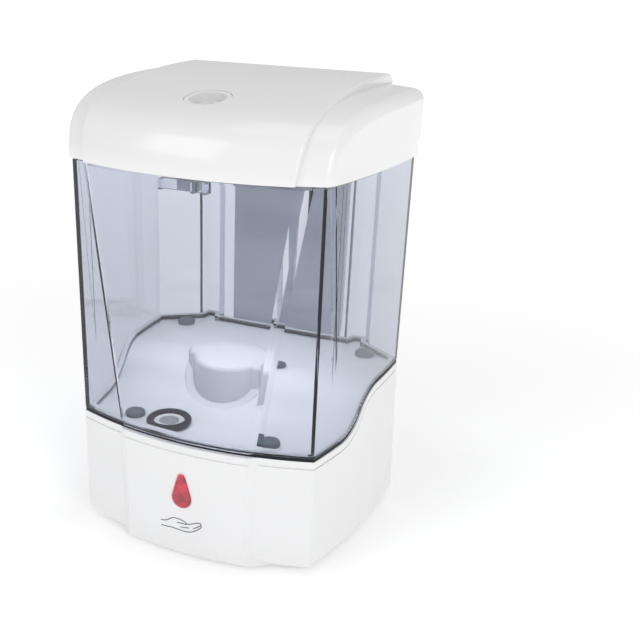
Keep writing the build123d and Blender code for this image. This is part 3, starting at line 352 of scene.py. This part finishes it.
def arc(centre, radius, angles):
    """Points in millimetres on a circle whose middle is on the centre line."""
    turns = [math.radians(angle) for angle in angles]
    return [(1000 * radius * math.cos(t), 1000 * (centre + radius * math.sin(t))) for t in turns]


round_centre = lens_low.z - base_z + lens_high.x
tip_centre = lens_high.z - base_z - LENS_TIP
# a ring round the lens whose pale pink is painted glow and painted shade
outline = arc(round_centre, lens_high.x + GLOW_RING_GAP, range(-195, 16, 15))
outline += arc(tip_centre, LENS_TIP + GLOW_RING_GAP, (16, 55, 90, 125, 164))
line_piece("painted_lens_glow_ring", [outline], GLOW_RING_RADIUS, -GLOW_RING_SINK, painted_lens_glow, closed=True)


# ---------- floor, light and camera ----------
def plane(name, size, centre):
    half = size / 2
    mesh = bpy.data.meshes.new(name)
    corners = [(-half, -half, 0), (half, -half, 0), (half, half, 0), (-half, half, 0)]
    mesh.from_pydata(corners, [], [(0, 1, 2, 3)])
    obj = bpy.data.objects.new(name, mesh)
    obj.location = centre
    scene.collection.objects.link(obj)
    return obj


FLOOR_SIZE = 12.0
FLOOR_DROP = 0.0002            # how far the floor lies below the object
FLOOR_GLOW = (0.2, 0.5)        # emission near the object and far from it, and where those two are reached
GLOW_REACH = (0.1, 1.0)

floor = plane("floor", FLOOR_SIZE, (0, 0, cad_box[0].z - FLOOR_DROP))
floor_mat, floor_tree, floor_shader = new_material("pale_floor")
floor_shader.inputs["Base Color"].default_value = (0.93, 0.93, 0.93, 1)
floor_shader.inputs["Roughness"].default_value = 0.9
floor_shader.inputs["Specular IOR Level"].default_value = 0.0
floor_shader.inputs["Emission Color"].default_value = (1, 1, 1, 1)
floor_place = floor_tree.nodes.new("ShaderNodeTexCoord")
floor_reach = floor_tree.nodes.new("ShaderNodeVectorMath")
floor_reach.operation = "LENGTH"
floor_tree.links.new(floor_place.outputs["Object"], floor_reach.inputs[0])
floor_glow = remap(floor_tree, floor_reach.outputs["Value"], *FLOOR_GLOW, *GLOW_REACH)
floor_tree.links.new(floor_glow, floor_shader.inputs["Emission Strength"])
floor.data.materials.append(floor_mat)
floor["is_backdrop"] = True

WORLD_LIGHT = 0.62             # the white surroundings as the object is lit by them
WORLD_SEEN = 1.0               # and as the camera sees them

world = bpy.data.worlds.new("studio")
scene.world = world
world.use_nodes = True
world_tree = world.node_tree
world_tree.nodes.clear()
world_out = world_tree.nodes.new("ShaderNodeOutputWorld")
surroundings = world_tree.nodes.new("ShaderNodeBackground")
surroundings.inputs["Color"].default_value = (1.0, 1.0, 1.0, 1)
world_path = world_tree.nodes.new("ShaderNodeLightPath")
world_level = remap(world_tree, world_path.outputs["Is Camera Ray"], WORLD_LIGHT, WORLD_SEEN, 0.0, 1.0)
world_tree.links.new(world_level, surroundings.inputs["Strength"])
world_tree.links.new(surroundings.outputs["Background"], world_out.inputs["Surface"])


def area(name, location, target, size, power):
    """Rectangular lamp aimed at the target."""
    light = bpy.data.lights.new(name, "AREA")
    light.shape = "RECTANGLE"
    light.size, light.size_y = size
    light.energy = power
    obj = bpy.data.objects.new(name, light)
    obj.location = location
    aim = Vector(target) - Vector(location)
    obj.rotation_euler = aim.to_track_quat("-Z", "Y").to_euler()
    scene.collection.objects.link(obj)
    return obj


MIDDLE = (0, -0.05, 0.0)       # inside the object
area("key", (-0.5, -1.0, 0.6), MIDDLE, (0.6, 0.6), 2.0)
area("top", (0.1, -0.05, 1.1), MIDDLE, (0.8, 0.8), 1.6)
area("fill", (0.9, -0.7, 0.4), MIDDLE, (0.5, 0.7), 2.7)

# soft glow inside the tank, as from a light tent: over the front of its floor, and before its back wall
tank_low, tank_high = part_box("tank")
lid_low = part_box("lid")[0]
for name, y, drop, size, power in (
    ("front_glow", tank_low.y + 0.026, 0.006, (0.085, 0.03), 0.1),
    ("rear_glow", tank_high.y - 0.03, 0.035, (0.085, 0.025), 0.01),
):
    z = lid_low.z - drop
    glow = area(name, (0, y, z), (0, y, tank_low.z), size, power)
    glow.visible_camera = False
    glow.visible_transmission = False
    glow.visible_glossy = False

scene.view_settings.view_transform = "Standard"
scene.view_settings.look = "None"

CAMERA_PLACE = (0.1676, -0.4161, 0.1288)
azimuth = math.radians(23.229)
elevation = math.radians(23.324)
roll = math.radians(1.633)
level = math.cos(elevation)
right = Vector((math.cos(azimuth), math.sin(azimuth), 0))
back = Vector((math.sin(azimuth) * level, -math.cos(azimuth) * level, math.sin(elevation)))
up = back.cross(right)
right, up = right * math.cos(roll) + up * math.sin(roll), up * math.cos(roll) - right * math.sin(roll)
cam_data = bpy.data.cameras.new("camera")
cam_data.lens = 53.3
cam_data.sensor_width = 36.0
cam_data.shift_x = 0.0828
cam_data.shift_y = 0.0795
camera = bpy.data.objects.new("camera", cam_data)
camera.matrix_world = Matrix.Translation(CAMERA_PLACE) @ Matrix((right, up, back)).transposed().to_4x4()
scene.collection.objects.link(camera)
scene.camera = camera

size = {
    "cad_box": [list(corner) for corner in cad_box],
    "visual_box": [list(corner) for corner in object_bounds()],
}
